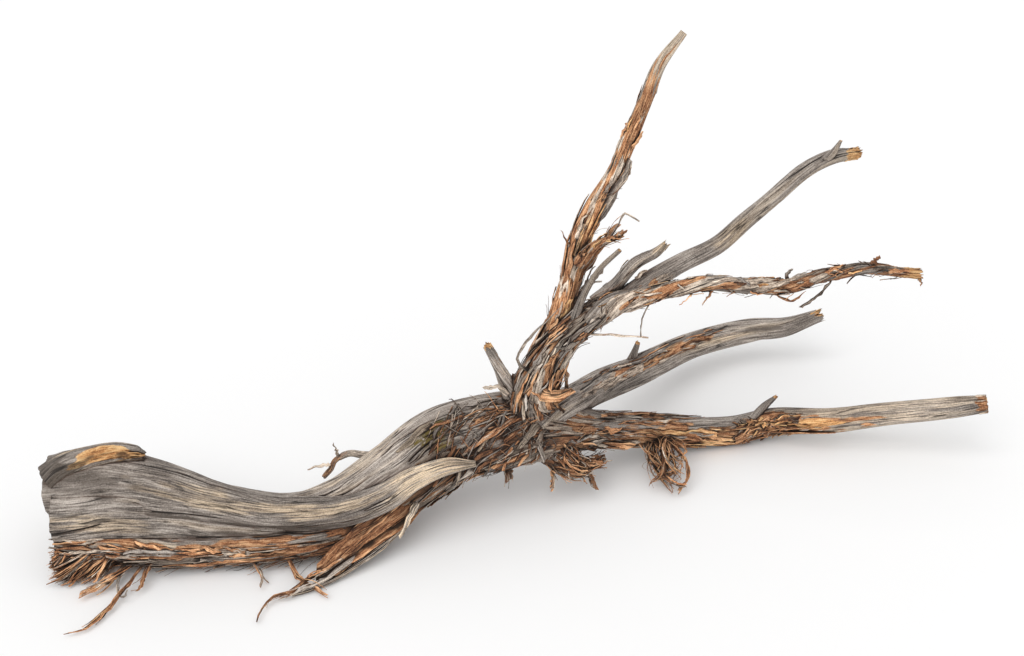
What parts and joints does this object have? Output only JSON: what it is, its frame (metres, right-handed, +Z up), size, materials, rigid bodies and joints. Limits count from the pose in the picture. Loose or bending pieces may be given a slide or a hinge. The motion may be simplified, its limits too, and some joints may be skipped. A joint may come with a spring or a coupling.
{
  "type": "piece of driftwood",
  "caption": "twisted weathered trunk with a shaggy crown of loose bark and slender broken branches fanning out from it",
  "frame": {"origin": "on the floor under the middle of the bounding box", "axes": "+X along the trunk from its broken butt to the branch tips, +Z up, the front side that shows the twisted strands faces -Y"},
  "size_m": [0.5473, 0.2638, 0.2759],
  "materials": {
    "driftwood": "weathered grey wood with torn orange-brown bark"
  },
  "bodies": {
    "root": {"driftwood": "driftwood"}
  },
  "joints": []
}
